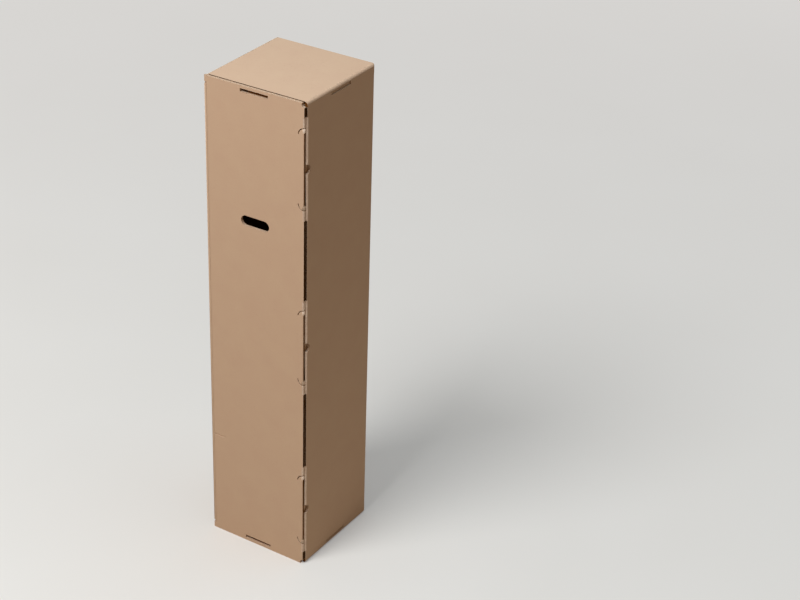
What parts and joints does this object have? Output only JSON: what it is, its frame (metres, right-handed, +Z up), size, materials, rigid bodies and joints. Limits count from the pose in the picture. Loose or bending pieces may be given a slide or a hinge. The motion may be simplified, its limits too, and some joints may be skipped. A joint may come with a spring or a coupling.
{
  "type": "bottle shipping box",
  "caption": "Tall square folding box of corrugated board for one bottle, with a hinged front flap, tuck-in lock tabs, double rolled end walls and a hand hole.",
  "frame": {"origin": "centre of the box's footprint, on the face it stands on", "axes": "+Z up along the height, -Y towards the front flap, +X towards the right panel that its tabs tuck behind"},
  "size_m": [0.12, 0.119, 0.535],
  "materials": {
    "board": "uncoated brown kraft liner"
  },
  "bodies": {
    "box": {"box_body": "board"},
    "flap": {"front_flap": "board"}
  },
  "joints": [
    {"name": "front_flap_crease", "type": "hinge", "parent": "box", "child": "flap", "pos_m": [-0.0585, -0.058, 0.2675], "axis": [0, 0, -1], "range_deg": [0, 180]}
  ]
}
